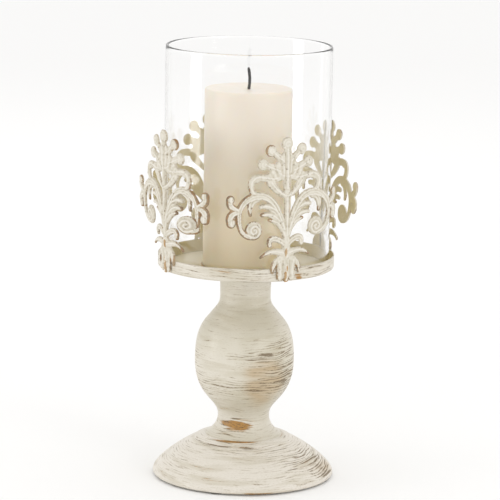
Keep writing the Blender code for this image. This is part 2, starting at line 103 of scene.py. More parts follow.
# Each panel is given: its place round the rim, the folds of its left and right wings and how far
# it leans out, in degrees, then the slopes of its right volute and of its right curls
PANEL_BENDS = ((-1.2, 1.0, 12.8, -0.6, 0.0, 0.6), (0.0, 2.5, 7.0, 2.6, 0.0, 0.0),
               (0.0, 7.0, 7.0, 2.0, 0.0, 0.0), (0.6, 4.0, 11.9, 2.0, 0.6, 0.2))
VOLUTE_REACH = (8.0, 15.0)  # a volute's bend is full inside the first and ends at the second
CURL_HINGE = 44.0          # the curls bend from this far across
EDGE_OUTER = 0.35          # height of the sheet's outer face at its rim, over the middle surface
EDGE_INNER = 0.55          # and depth of its inner face
INNER_ECHO = 0.12          # share of the relief that shows on the inner side
CREASE_DEPTH = 0.45        # depth of the groove along the fold, on the inner side

AROUND = 192               # steps round the axis


def extent(node):
    """Largest radius, lowest height and highest height of a CAD node, in millimetres."""
    low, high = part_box(node)
    return high.x / MM, low.z / MM, high.z / MM


BASE_R, BASE_LOW, BASE_TOP = extent("base_dome")
STEM_BULB_R, STEM_LOW, STEM_TOP = extent("stem")
TRAY_R, TRAY_LOW, TRAY_TOP = extent("tray")
CANDLE_R, CANDLE_LOW, CANDLE_TOP = extent("candle")
GLASS_R, GLASS_LOW, GLASS_TOP = extent("glass_cylinder")
WICK_LOW = extent("wick")[1]
PLATE_Z = CANDLE_LOW - GAP


# ---------------- shapes

def cubic(p0, p1, p2, p3, steps):
    """Points along a cubic Bezier curve, both ends included."""
    ends = [np.array(p, dtype=float) for p in (p0, p1, p2, p3)]
    points = []
    for t in np.linspace(0.0, 1.0, steps + 1):
        s = 1.0 - t
        points.append(s**3 * ends[0] + 3*s*s*t * ends[1] + 3*s*t*t * ends[2] + t**3 * ends[3])
    return points


def arc(centre, radius, start, end, steps):
    """Points of an arc about centre, from one angle to another, in degrees."""
    turns = np.radians(np.linspace(start, end, steps + 1))
    return [np.array((centre[0] + radius * cos(a), centre[1] + radius * sin(a))) for a in turns]


def straight(start, end, count):
    """Evenly spaced points from start to end."""
    return list(np.linspace(start, end, count))


def sheet_outline(outer, thickness):
    """Closed outline of a bent sheet: outer face, round edge, inner face, round edge."""
    outer = [np.array(p, dtype=float) for p in outer]
    inner, middles, steps = [], [], []
    for i, point in enumerate(outer):
        step = outer[min(i + 1, len(outer) - 1)] - outer[max(i - 1, 0)]
        step = step / np.linalg.norm(step)
        into = np.array((step[1], -step[0]))
        inner.append(point + thickness * into)
        middles.append(point + thickness / 2 * into)
        steps.append(step)
    half = thickness / 2
    outline = list(outer)
    for at, face in ((-1, inner[::-1]), (0, [])):
        way = steps[at] if at else -steps[0]
        across = (outer[-1] if at else inner[0]) - middles[at]
        for angle in np.radians(np.arange(30, 180, 30)):
            outline.append(middles[at] + cos(angle) * across + sin(angle) * half * way)
        outline += face
    return outline


def lengths(outline):
    """Distance from the first point of an outline to each of its points."""
    steps = [np.linalg.norm(b - a) for a, b in zip(outline, outline[1:])]
    return np.concatenate(((0.0,), np.cumsum(steps)))


def store(mesh, name, values):
    """Keep a number for each point of the mesh, which a material can read by name."""
    mesh.attributes.new(name, "FLOAT", "POINT").data.foreach_set("value", np.float32(values))


def smooth_mesh(name, verts, faces, sharp):
    """Mesh with smooth shading, and edges sharper than the angle left crisp."""
    mesh = bpy.data.meshes.new(name)
    mesh.from_pydata(verts.tolist(), [], faces)
    mesh.shade_smooth()
    mesh.set_sharp_from_angle(angle=radians(sharp))
    return mesh


def placed(name, data):
    """A new object in the scene."""
    obj = bpy.data.objects.new(name, data)
    bpy.context.scene.collection.objects.link(obj)
    return obj


def finished(name, mesh, mats, body, slot, *nodes):
    """Put a piece in the scene on its body and in place of its CAD nodes. Its slot is not used."""
    obj = placed(name, mesh)
    for mat in mats:
        mesh.materials.append(mat)
    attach(obj, body)
    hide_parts(*nodes)


def turned_mesh(name, outline):
    """Mesh of a closed outline of (radius, height), down its outer side, turned round Z.

    Its attribute "along" is the distance along the outline, in metres.
    """
    outline = [np.array(p, dtype=float) for p in outline]
    along = lengths(outline) * MM
    count = len(outline)
    angles = np.arange(AROUND) * 2 * pi / AROUND
    radius, height = np.array(outline).T * MM
    verts = np.stack((np.outer(np.cos(angles), radius).ravel(),
                      np.outer(np.sin(angles), radius).ravel(),
                      np.tile(height, AROUND)), axis=1)
    faces = []
    for j in range(AROUND):
        near, far = j * count, (j + 1) % AROUND * count
        for i in range(count):
            k = (i + 1) % count
            faces.append((near + i, near + k, far + k, far + i))
    mesh = smooth_mesh(name, verts, faces, 40.0)
    store(mesh, "along", np.tile(along, AROUND))
    return mesh


def patches(mesh, name, spots, spread=0.0):
    """Attribute that is the sum of soft patches, each (polar angle, level, angle width, level
    width, strength). A point's level is its height less spread times its radius."""
    x, y, z = np.array([vert.co for vert in mesh.vertices]).T / MM
    level = z - spread * np.hypot(x, y)
    weights = np.zeros(len(z))
    for angle, middle, angle_width, level_width, strength in spots:
        turn = (np.arctan2(y, x) - radians(angle) + pi) % (2 * pi) - pi
        reach = (turn / radians(angle_width)) ** 2 + ((level - middle) / level_width) ** 2
        weights += strength * np.exp(-reach)
    store(mesh, name, weights)


# ---------------- shader nodes

class Shader:
    """A material, with short calls that add a node each and return its output socket."""

    def __init__(self, name):
        self.mat = bpy.data.materials.new(name)
        self.mat.use_nodes = True
        self.tree = self.mat.node_tree
        self.surface = self.tree.nodes["Principled BSDF"]

    def node(self, kind, **settings):
        made = self.tree.nodes.new("ShaderNode" + kind)
        for key, value in settings.items():
            setattr(made, key, value)
        return made

    def feed(self, socket, value):
        if isinstance(value, bpy.types.NodeSocket):
            self.tree.links.new(value, socket)
        elif socket.type == "RGBA":
            socket.default_value = (*value, 1.0)
        else:
            socket.default_value = value

    def set(self, **inputs):
        for key, value in inputs.items():
            self.feed(self.surface.inputs[key.replace("_", " ")], value)

    def position(self):
        return self.node("TexCoord").outputs["Object"]

    def axes(self):
        split = self.node("SeparateXYZ")
        self.feed(split.inputs[0], self.position())
        return split.outputs

    def attribute(self, name):
        return self.node("Attribute", attribute_name=name).outputs["Fac"]

    def vector(self, x, y, z):
        made = self.node("CombineXYZ")
        for socket, value in zip(made.inputs, (x, y, z)):
            self.feed(socket, value)
        return made.outputs[0]

    def maths(self, operation, *values):
        made = self.node("Math", operation=operation)
        for socket, value in zip(made.inputs, values):
            self.feed(socket, value)
        return made.outputs[0]

    def times(self, value, factor):
        return self.maths("MULTIPLY", value, factor)

    def times_plus(self, value, factor, rest):
        return self.maths("MULTIPLY_ADD", value, factor, rest)

    def noise(self, scale, detail=2.0, roughness=0.5, distortion=0.0, where=None):
        made = self.node("TexNoise")
        where = self.position() if where is None else where
        values = (("Vector", where), ("Scale", scale), ("Detail", detail),
                  ("Roughness", roughness), ("Distortion", distortion))
        for key, value in values:
            self.feed(made.inputs[key], value)
        return made.outputs["Fac"]

    def step(self, value, low, high, start=0.0, end=1.0):
        made = self.node("MapRange", interpolation_type="SMOOTHSTEP")
        for socket, number in zip(made.inputs, (value, low, high, start, end)):
            self.feed(socket, number)
        return made.outputs[0]

    def mix(self, amount, first, second):
        made = self.node("Mix", data_type="RGBA")
        for key, value in ((0, amount), (6, first), (7, second)):
            self.feed(made.inputs[key], value)
        return made.outputs[2]

    def bump(self, height, depth, strength=1.0, under=None):
        made = self.node("Bump")
        self.feed(made.inputs["Height"], height)
        made.inputs["Distance"].default_value = depth * MM
        made.inputs["Strength"].default_value = strength
        if under is not None:
            self.feed(made.inputs["Normal"], under)
        return made.outputs[0]


# Linear colours: the paint, what shows through it, and the plain pieces
CREAM = (0.600, 0.560, 0.455)
CREAM_LIGHT = (0.690, 0.650, 0.560)
CREAM_SHADE = (0.500, 0.450, 0.330)
TAN = (0.500, 0.375, 0.225)
LEAF_RIDGE_HIGHLIGHT = (0.790, 0.755, 0.680)
LEAF_SHADE = (0.430, 0.345, 0.225)
OLIVE = (0.620, 0.540, 0.310)
OLIVE_LIGHT = (0.680, 0.610, 0.410)
CREAM_PALE = (0.760, 0.715, 0.645)
BRUSH_GREY = (0.140, 0.095, 0.046)
BRUSH_PALE = (0.360, 0.280, 0.170)
RUB_GOLD = (0.410, 0.200, 0.028)
EDGE_BROWN = (0.150, 0.082, 0.026)
RUST = (0.270, 0.135, 0.036)
CREASE_SHADE = (0.080, 0.055, 0.025)
PLATE_CREAM = (0.730, 0.665, 0.490)
PLATE_LIGHT = (0.770, 0.715, 0.570)
WAX_TOP = (0.800, 0.730, 0.630)
WAX_LOW = (0.850, 0.735, 0.520)
CHAR = (0.008, 0.007, 0.006)
CHAR_LIGHT = (0.050, 0.045, 0.040)
ZINC = (0.500, 0.500, 0.490)
ZINC_YELLOW = (0.620, 0.610, 0.570)
FELT_DARK = (0.050, 0.045, 0.040)
FELT_LIGHT = (0.160, 0.150, 0.130)

BRUSH_ROWS = 420.0         # rows of brush lines in a metre


def brushed_paint(name):
    """Cream paint wiped over a brown coat: long brush lines round the axis, and rubbed patches.

    Attributes: "along" is the way down the surface; "heavy" and "soil_and_shade" add brush lines
    (a negative "heavy" takes some away), the latter both dirt and painted shade; "tint" warms the
    cream, "pale" whitens it, partly as painted light, and "rub" bares the gold-brown coat.
    """
    s = Shader(name)
    x, y, _ = s.axes()
    wander = s.noise(22.0, 1.0)
    along = s.times_plus(wander, 0.006, s.attribute("along"))

    def brush(around, across, detail=2.0):
        """Noise drawn out round the axis, both scales in features a metre."""
        where = s.vector(s.times(x, around), s.times(y, around), s.times(along, across))
        return s.noise(1.0, detail, 0.55, where=where)

    lines = brush(52.0, 1500.0, 1.0)
    dashes = brush(78.0, 560.0)
    frayed = brush(480.0, 3000.0)
    bands = brush(26.0, 170.0, 1.0)
    cloud = s.noise(20.0, 2.0, 0.5)
    # A brush line is where a row's middle, the dashes and the frayed grain come together
    rows = s.times_plus(bands, 3.2, s.times(along, BRUSH_ROWS))
    track = s.maths("PINGPONG", rows, 0.5)
    level = s.times_plus(track, -0.95, s.times_plus(frayed, 0.55, dashes))
    level = s.times_plus(s.attribute("heavy"), 0.23, level)
    # soil_and_shade adds dark brush marks: dirt, and on the base painted shade along the cap's
    # ledge and beside the stem's foot
    level = s.times_plus(s.attribute("soil_and_shade"), 0.22, level)
    marks = s.step(level, 0.90, 1.04)
    # The cream, then its warm patches, then the lines with their pale borders
    paint = s.mix(s.step(cloud, 0.35, 0.65), CREAM, CREAM_LIGHT)
    # pale whitens the cream: a lighter paint on the base and the tray, and on the stem painted
    # light against the waist's shade and a painted highlight on the bulb
    paint = s.mix(s.times(s.attribute("pale"), 0.85), paint, CREAM_PALE)
    paint = s.mix(s.step(bands, 0.45, 0.7, 0.0, 0.40), paint, CREAM_SHADE)
    paint = s.mix(s.step(frayed, 0.45, 0.75, 0.0, 0.35), paint, CREAM_SHADE)
    tint = s.times(s.step(s.attribute("tint"), 0.1, 1.0, 0.0, 0.8),
                   s.step(bands, 0.30, 0.60, 0.5, 1.0))
    paint = s.mix(tint, paint, TAN)
    paint = s.mix(s.step(level, 0.68, 0.92, 0.0, 0.45), paint, BRUSH_PALE)
    paint = s.mix(s.times(marks, 0.80), paint, BRUSH_GREY)
    # The rubbed patches break up along the bands
    level = s.times_plus(bands, 0.55, s.times(lines, 0.35))
    rubbed = s.step(s.times_plus(s.attribute("rub"), 0.30, level), 0.60, 0.68)
    gold = s.mix(s.step(s.times_plus(marks, 0.2, frayed), 0.49, 0.63), RUB_GOLD, EDGE_BROWN)
    paint = s.mix(s.times(rubbed, 0.95), paint, gold)
    s.set(Base_Color=paint)
    s.set(Roughness=s.times_plus(marks, 0.22, s.step(cloud, 0.3, 0.7, 0.30, 0.42)))
    low = s.bump(bands, 0.22, 0.3)
    s.set(Normal=s.bump(s.maths("SUBTRACT", frayed, marks), 0.09, 0.5, low))
    return s.mat


def leaf_paint_outer():
    """Whitewashed relief: brown on worn edges, grey-brown dirt and painted shade in the hollows,
    and painted highlights on the ridges.
    """
    s = Shader("leaf_paint_outer")
    cloud = s.noise(110.0, 3.0, 0.6)
    mottle = s.noise(330.0, 2.0, 0.55)
    grain = s.noise(650.0, 3.0, 0.6)
    paint = s.mix(s.step(cloud, 0.35, 0.65), CREAM, CREAM_LIGHT)
    paint = s.mix(s.step(mottle, 0.46, 0.66, 0.0, 0.60), paint, CREAM_SHADE)
    # Painted highlight: the ridges of the relief are whitened
    paint = s.mix(s.step(s.attribute("ridge_highlight"), 0.0, 0.9, 0.15, 0.85), paint, LEAF_RIDGE_HIGHLIGHT)
    # Grey-brown dirt and painted shade in the hollows of the relief
    hollow_dirt_and_shade = s.times(s.attribute("hollow_dirt_and_shade"), s.step(grain, 0.2, 0.55))
    paint = s.mix(s.times(hollow_dirt_and_shade, 0.50), paint, LEAF_SHADE)
    level = s.times_plus(mottle, 0.45, grain)
    crack = s.step(s.times_plus(s.attribute("hollow_dirt_and_shade"), 0.06, level), 0.87, 0.96)
    paint = s.mix(s.times(crack, 0.72), paint, BRUSH_GREY)
    worn = s.step(s.times_plus(s.attribute("worn"), 0.62, grain), 0.72, 0.86)
    bare = s.mix(s.step(mottle, 0.40, 0.56), EDGE_BROWN, RUST)
    bare = s.mix(s.step(s.attribute("bead"), 0.2, 0.8), bare, RUB_GOLD)
    bare = s.mix(s.step(cloud, 0.44, 0.64, 0.0, 0.45), bare, TAN)
    paint = s.mix(s.times(worn, 0.85), paint, bare)
    s.set(Base_Color=paint)
    s.set(Roughness=s.times_plus(worn, 0.2, s.step(cloud, 0.3, 0.7, 0.34, 0.48)))
    low = s.bump(cloud, 0.35, 0.5)
    s.set(Normal=s.bump(grain, 0.12, 0.6, low))
    return s.mat


def leaf_paint_inner():
    """Plain olive-cream paint of the inner sides, with painted shade in the crease and a painted
    highlight beside it.
    """
    s = Shader("leaf_paint_inner")
    cloud = s.noise(60.0, 3.0, 0.55)
    grain = s.noise(600.0, 2.0)
    paint = s.mix(s.step(cloud, 0.35, 0.7), OLIVE, OLIVE_LIGHT)
    # Painted highlight beside the crease and painted shade in it
    paint = s.mix(s.times(s.attribute("ridge_highlight"), 0.5), paint, CREAM_LIGHT)
    paint = s.mix(s.times(s.attribute("hollow_dirt_and_shade"), 0.92), paint, CREASE_SHADE)
    worn = s.step(s.times_plus(s.attribute("worn"), 0.35, grain), 0.82, 0.98)
    paint = s.mix(s.times(worn, 0.7), paint, EDGE_BROWN)
    s.set(Base_Color=paint)
    s.set(Roughness=s.step(cloud, 0.3, 0.7, 0.38, 0.48))
    s.set(Normal=s.bump(grain, 0.06, 0.5))
    return s.mat


def tray_inside():
    """The plate and the inner wall of the tray: plain paint, scuffed where things stand."""
    s = Shader("tray_inside")
    x, y, _ = s.axes()
    cloud = s.noise(40.0, 3.0, 0.55)
    grain = s.noise(500.0, 2.0)
    radius = s.maths("SQRT", s.maths("ADD", s.times(x, x), s.times(y, y)))
    wall = s.step(radius, (TRAY_R - 3.2) * MM, (TRAY_R - 1.0) * MM)
    paint = s.mix(s.step(cloud, 0.35, 0.7), PLATE_CREAM, PLATE_LIGHT)
    paint = s.mix(wall, paint, OLIVE)
    ring = s.maths("ABSOLUTE", s.maths("SUBTRACT", radius, (CANDLE_R + 0.4) * MM))
    mark = s.times(s.step(ring, 1.6 * MM, 0.2 * MM), s.step(grain, 0.2, 0.5))
    paint = s.mix(s.times(mark, 0.75), paint, RUB_GOLD)
    s.set(Base_Color=paint)
    s.set(Roughness=s.step(cloud, 0.3, 0.7, 0.36, 0.5))
    s.set(Normal=s.bump(grain, 0.06, 0.5))
    return s.mat


def wax():
    """Ivory wax, warmer towards the foot, where the warmth is painted light reflected from the
    tray.
    """
    s = Shader("ivory_wax")
    z = s.axes()[2]
    mottle = s.noise(70.0, 4.0, 0.6)
    height = s.times_plus(mottle, 0.02, z)
    # Painted warm light reflected from the tray, stronger towards the foot
    fade = s.step(height, (CANDLE_LOW - 5.0) * MM, (CANDLE_TOP + 8.0) * MM)
    colour = s.mix(fade, WAX_LOW, WAX_TOP)
    s.set(Base_Color=colour, Subsurface_Weight=0.35, Subsurface_Radius=(0.9, 0.55, 0.3),
          Subsurface_Scale=0.012, Coat_Weight=0.1, Coat_Roughness=0.35)
    s.set(Roughness=s.step(mottle, 0.3, 0.7, 0.36, 0.5))
    fine = s.noise(260.0, 3.0)
    s.set(Normal=s.bump(fine, 0.08, 0.5, s.bump(mottle, 0.4, 0.35)))
    return s.mat


def cotton():
    """The charred cord of the wick."""
    s = Shader("wick_cotton")
    fray = s.noise(1800.0, 3.0, 0.7)
    colour = s.mix(s.step(fray, 0.4, 0.75), CHAR, CHAR_LIGHT)
    s.set(Base_Color=colour)
    s.set(Roughness=s.step(fray, 0.3, 0.7, 0.75, 0.98))
    s.set(Normal=s.bump(fray, 0.15))
    return s.mat


def clear_glass():
    """Clear glass that lets the lamps through to what it holds."""
    s = Shader("clear_glass")
    faint = s.noise(14.0, 1.0)
    s.set(Base_Color=(1.0, 1.0, 1.0), IOR=1.46, Transmission_Weight=1.0)
    s.set(Roughness=s.step(faint, 0.5, 0.8, 0.0, 0.02))
    through = s.node("BsdfTransparent")
    through.inputs[0].default_value = (0.98, 0.98, 0.98, 1.0)
    blend = s.node("MixShader")
    path = s.node("LightPath").outputs
    s.feed(blend.inputs[0], s.maths("MAXIMUM", path["Is Shadow Ray"], path["Is Diffuse Ray"]))
    s.feed(blend.inputs[1], s.surface.outputs[0])
    s.feed(blend.inputs[2], through.outputs[0])
    s.feed(s.tree.nodes["Material Output"].inputs[0], blend.outputs[0])
    return s.mat


def zinc_steel():
    """Zinc-plated steel of the bolt, the washers, the nut and the discs."""
    s = Shader("zinc_steel")
    spangle = s.noise(420.0, 2.0)
    scratch = s.noise(1600.0, 3.0, 0.7, 0.6)
    s.set(Base_Color=s.mix(spangle, ZINC, ZINC_YELLOW), Metallic=1.0)
    s.set(Roughness=s.step(scratch, 0.3, 0.7, 0.28, 0.5))
    s.set(Normal=s.bump(scratch, 0.03, 0.5))
    return s.mat


def felt():
    """Dark felt of the pads."""
    s = Shader("felt")
    fibre = s.noise(2600.0, 4.0, 0.75, 1.2)
    s.set(Base_Color=s.mix(fibre, FELT_DARK, FELT_LIGHT), Sheen_Weight=0.4)
    s.set(Roughness=s.step(fibre, 0.2, 0.8, 0.85, 1.0))
    s.set(Normal=s.bump(fibre, 0.25))
    return s.mat


# ---------------- turned pieces

# Patches of worn paint, and on the stem and the base also of painted light and shade: polar angle,
# level, angle width, level width, strength. On the stem and the tray the level is the height.
STEM_WEAR_AND_LIGHT = {
    "heavy": ((-62, 98, 30, 26, 1.05), (-36, 84, 24, 22, 0.75), (-122, 84, 46, 6, 0.8),
              (-112, 113, 26, 4, 1.0), (-84, 104, 34, 22, 0.45), (-70, 124, 26, 9, 0.5),
              (-100, 97, 24, 16, 0.5), (35, 108, 40, 22, 0.9), (140, 92, 55, 22, 1.0),
              (-150, 84, 26, 7, 0.4), (-142, 106, 24, 14, -0.6), (-110, 140, 60, 12, -0.4)),
    "tint": ((-93, 101, 22, 9, 1.3), (-88, 85, 24, 10, 1.9), (-90, 68, 22, 7, 0.5),
             (50, 95, 30, 22, 0.8), (150, 80, 26, 16, 0.7)),
    # pale here is painted light: the band round the waist lifts its shade, the spot on the bulb is
    # a painted highlight
    "pale": ((0, 50, 700, 12, 0.5), (-165, 105, 34, 20, 0.3)),
    "rub": ((-134, 48.2, 36, 5.0, 1.5), (-92, 82, 9, 4, 0.30), (62, 43, 20, 4.0, 0.8),
            (150, 80, 14, 8, 0.3)),
    "soil_and_shade": ((-134, 53.5, 16, 2.0, 1.7), (-158, 48.0, 16, 4.0, 1.4), (-140, 42.5, 30, 2.6, 1.3),
             (-112, 47.0, 10, 3.0, 0.6)),
}
# On the base the level is the height less the radius: about 3 at the stem's foot, -8.4 at the
# cap's ledge and -77 at the bottom of the rim
DOME_WEAR_AND_SHADE = {
    "heavy": ((-58, -34, 34, 18, 0.95), (-42, -54, 22, 16, 1.1), (-104, -15, 50, 6, 0.9),
              (20, -45, 46, 16, 0.8), (110, -35, 40, 20, 0.7), (-178, -44, 30, 24, 0.6),
              (-78, -56, 40, 26, 0.35), (-136, -44, 30, 18, -0.55)),
    "tint": ((-40, -62, 18, 10, 0.7), (-62, -48, 26, 16, 0.3), (60, -20, 40, 20, 0.5)),
    "pale": ((0, -40, 700, 300, 1.0),),
    "rub": ((-126, 1.6, 30, 1.9, 1.4), (-118, -8.6, 12, 1.0, 0.5), (60, 3, 22, 5, 0.8),
            (-112, -77, 26, 1.2, 0.8), (-42, -68, 10, 5.0, 0.5), (160, -77, 30, 1.4, 0.6)),
    # Dirt, and painted shade along the cap's ledge and beside the stem's foot
    "soil_and_shade": ((-138, -1.6, 34, 2.0, 1.3), (-160, -9.5, 34, 2.4, 1.6), (-118, -10, 26, 2.0, 1.3),
             (60, -8.8, 60, 1.0, 1.0), (-46, -68, 14, 7, 1.2), (-118, -77.5, 70, 1.0, 1.5),
             (60, -77.5, 80, 1.0, 1.2)),
}
TRAY_WEAR = {
    "heavy": ((-70, 190, 50, 20, 1.0), (40, 190, 50, 20, 0.9), (150, 190, 50, 20, 0.8)),
    "tint": ((-60, 190, 30, 8, 0.3), (60, 190, 50, 8, 0.4)),
    "pale": ((0, 190, 700, 20, 0.5),),
    "rub": ((-81, 187, 4, 2.5, 0.9), (98, 187, 5, 2.0, 0.6)),
    "soil_and_shade": ((-118, 196.3, 70, 0.6, 0.9), (60, 196.3, 80, 0.6, 0.9), (-115, 185, 12, 1.0, 1.2)),
}


def paint_patches(mesh, spots, spread=0.0):
    """Store the patches of worn paint, painted light and painted shade that brushed_paint reads.
    """
    for name in ("heavy", "tint", "pale", "rub", "soil_and_shade"):
        patches(mesh, name, spots[name], spread)


def base_piece(mat):
    """The domed foot: flat top, cap, ledge, skirt and flange."""
    cap_end = (BASE_CAP_R - 0.6, BASE_CAP_Z + 0.25)
    skirt_top = (BASE_CAP_R + 1.3, BASE_CAP_Z - BASE_STEP - 0.35)
    corner = BASE_RIM_ROUND
    outer = straight((BOLT_HOLE_R + 0.6, BASE_TOP), (BASE_FLAT_R, BASE_TOP), 10)
    outer += cubic((23.0, BASE_TOP), (31.0, BASE_TOP), (37.0, BASE_CAP_Z + 2.2), cap_end, 24)
    outer += cubic(cap_end, (BASE_CAP_R + 0.2, BASE_CAP_Z - 0.1),
                   (BASE_CAP_R + 0.3, BASE_CAP_Z - 0.9), skirt_top, 5)[1:]
    outer += cubic(skirt_top, (58.0, skirt_top[1] - 7.0), (BASE_R, 9.6), (BASE_R, 3.6), 64)[1:]
    outer += arc((BASE_R - corner, BASE_LOW + corner), corner, 0, -90, 8)
    outer += straight((75.0, BASE_LOW), (BASE_FLANGE_R + 0.6, BASE_LOW), 5)
    mesh = turned_mesh("base", sheet_outline(outer, BASE_SHEET))
    paint_patches(mesh, DOME_WEAR_AND_SHADE, 1.0)
    finished("base", mesh, [mat], "pedestal", "cream_paint", "base_dome")


def stem_piece(mat):
    """The baluster, from its mouth down to its foot. Its inner side starts over the foot's lip."""
    bulb = (STEM_BULB_R, STEM_BULB_Z)
    top = STEM_TOP - STEM_SHEET / 2
    foot = STEM_FLARE
    outer = cubic((STEM_MOUTH_R, top), (STEM_NECK[0], top - 8.0),
                  (STEM_NECK[0], STEM_NECK[1] + 8.0), STEM_NECK, 16)
    outer += cubic(STEM_NECK, (STEM_NECK[0], STEM_NECK[1] - 7.5),
                   (STEM_SHOULDER[0] - 5.0, STEM_SHOULDER[1] + 7.0), STEM_SHOULDER, 22)[1:]
    outer += cubic(STEM_SHOULDER, (STEM_SHOULDER[0] + 8.5, STEM_SHOULDER[1] - 9.0),
                   (STEM_BULB_R, STEM_BULB_Z + 19.0), bulb, 26)[1:]
    outer += cubic(bulb, (STEM_BULB_R, STEM_BULB_Z - 34.0),
                   (STEM_WAIST[0], STEM_WAIST[1] + 15.0), STEM_WAIST, 40)[1:]
    outer += cubic(STEM_WAIST, (STEM_WAIST[0], STEM_WAIST[1] - 6.0),
                   (STEM_WAIST[0] + 3.4, foot[1] + 4.4), foot, 28)[1:]
    inner = [point for point in sheet_outline(outer, STEM_SHEET)[len(outer):]
             if point[1] > STEM_LOW + STEM_SHEET]
    lip = [np.array((foot[0] - 0.15, foot[1] - 0.12)), np.array((27.0, STEM_LOW - 0.4)),
           np.array((STEM_WAIST[0], STEM_LOW - 0.25))]
    mesh = turned_mesh("stem_turned", outer + lip + inner)
    paint_patches(mesh, STEM_WEAR_AND_LIGHT)
    finished("stem_turned", mesh, [mat], "pedestal", "cream_paint", "stem")


def tray_piece(mat, inside):
    """The pan with its dimple, with another paint on its plate and inner wall."""
    under = PLATE_Z - TRAY_SHEET
    corner = TRAY_CORNER
    top = TRAY_TOP - TRAY_SHEET / 2
    outer = straight((TRAY_R, top), (TRAY_R, under + corner + 0.5), 8)
    outer += arc((TRAY_R - corner, under + corner), corner, 0, -90, 10)
    outer += straight((TRAY_R - corner - 2, under), (16.5, under), 18)
    outer += cubic((DIMPLE_MOUTH_R, under), (12.6, under), (11.8, TRAY_LOW),
                   (DIMPLE_FLOOR_R, TRAY_LOW), 12)
    outer += [np.array((r, TRAY_LOW)) for r in (7.5, 6.0, BOLT_HOLE_R + 0.5)]
    mesh = turned_mesh("tray_pan", sheet_outline(outer, TRAY_SHEET))
    paint_patches(mesh, TRAY_WEAR)
    finished("tray_pan", mesh, [mat, inside], "pedestal", "cream_paint", "tray")
    for face in mesh.polygons:
        middle = face.center / MM
        on_wall = Vector((middle.x, middle.y, 0.0)).dot(face.normal) < WALL_FACING
        on_plate = face.normal.z > PLATE_FACING
        if PLATE_Z - 4.5 < middle.z < TRAY_TOP - 0.3 and (on_wall or on_plate):
            face.material_index = 1


def candle_piece(mat):
    """The pillar, uneven by a fraction of a millimetre above its foot."""
    top = CANDLE_TOP
    shrink = CANDLE_R - CANDLE_EDGE
    outline = [np.array((WICK_HOLE_R, top - 1.2))]
    outline += cubic((2.2, top - 1.0), (6.0, top - 0.5), (14.0, top - 0.1),
                     (shrink - 5.0, top), 18)
    outline += cubic((shrink, top), (shrink + 1.2, top), (CANDLE_R, top - 0.8),
                     (CANDLE_R, top - CANDLE_EDGE), 8)
    outline += straight((CANDLE_R, top - 4), (CANDLE_R, CANDLE_LOW + 2), 40)
    foot_edge = (CANDLE_R - CANDLE_FOOT_EDGE, CANDLE_LOW + CANDLE_FOOT_EDGE)
    outline += arc(foot_edge, CANDLE_FOOT_EDGE, 0, -90, 4)
    outline += [np.array((WICK_HOLE_R, CANDLE_LOW))]
    mesh = turned_mesh("pillar", outline)
    for vert in mesh.vertices:
        x, y, z = vert.co
        if z > (CANDLE_LOW + 3.0) * MM:
            away = Vector((x, y, 0.0))
            swell = noise.noise(Vector((x, y, z)) * 32.0) * CANDLE_SWELL * MM
            lift = noise.noise(Vector((x, y, 0.3)) * 60.0) * CANDLE_SWELL * MM
            if away.length > 5.0 * MM:
                vert.co += away.normalized() * (swell - 0.12 * MM)
            if z > (top - 1.5) * MM:
                vert.co.z += lift - 0.2 * MM
    finished("pillar", mesh, [mat], "candle_body", "ivory_wax", "candle")


def wick_piece(mat):
    """A cord of three twisted strands along the CAD wick's route."""
    route = [(0.0, WICK_LOW), (0.0, WICK_LOW + 60.0), (0.0, CANDLE_TOP - 30.0)]
    route += [(x, CANDLE_TOP + z) for x, z in WICK_BENDS]
    route = np.array(route)
    run = lengths(list(route))
    wax_end = run[3]
    places = np.concatenate((np.linspace(0.0, wax_end - 1, 90),
                             np.linspace(wax_end, run[-1], 70)))
    sides = WICK_SIDES
    verts, faces = [], []
    for i, place in enumerate(places):
        x = np.interp(place, run, route[:, 0])
        z = np.interp(place, run, route[:, 1])
        bend = 0.35 * sin((place - wax_end) / 5.5) if place > wax_end else 0.0
        left = (run[-1] - place) / 2.0
        thin = min(1.0, 0.55 + 0.45 * left)
        for k in range(sides):
            angle = k / sides * 2 * pi
            lobe = 0.85 + 0.15 * cos(WICK_STRANDS * (angle - place / WICK_PITCH * 2 * pi))
            fray = 0.10 * noise.noise(Vector((4 * cos(angle), 4 * sin(angle), place * 1.7)))
            reach = WICK_R * thin * (lobe + fray)
            verts.append(((x + reach * cos(angle)) * MM, (bend + reach * sin(angle)) * MM,
                          z * MM))
        if i:
            for k in range(sides):
                a, b = (i - 1) * sides + k, (i - 1) * sides + (k + 1) % sides
                faces.append((a, b, b + sides, a + sides))
    last = (len(places) - 1) * sides
    faces.append(tuple(range(sides))[::-1])
    faces.append(tuple(range(last, last + sides)))
    mesh = smooth_mesh("twisted_wick", np.array(verts), faces, 60.0)
    finished("twisted_wick", mesh, [mat], "candle_body", "wick_cotton", "wick")


def glass_piece(mat):
    """The open tube, with round ends."""
    half = GLASS_WALL / 2
    inner, middle = GLASS_R - GLASS_WALL, GLASS_R - half
    high, low = GLASS_TOP - GLASS_END, GLASS_LOW + GLASS_END
    outline = arc((middle, GLASS_TOP - half), half, 90, 0, 8)
    outline += straight((GLASS_R, high), (GLASS_R, low), 24)
    outline += arc((middle, GLASS_LOW + half), half, 0, -180, 16)
    outline += straight((inner, low), (inner, high), 24)
    outline += arc((middle, GLASS_TOP - half), half, 180, 90, 8)[:-1]
    mesh = turned_mesh("glass_tube", outline)
    finished("glass_tube", mesh, [mat], "glass_body", "clear_glass", "glass_cylinder")


# ---------------- leaf panels

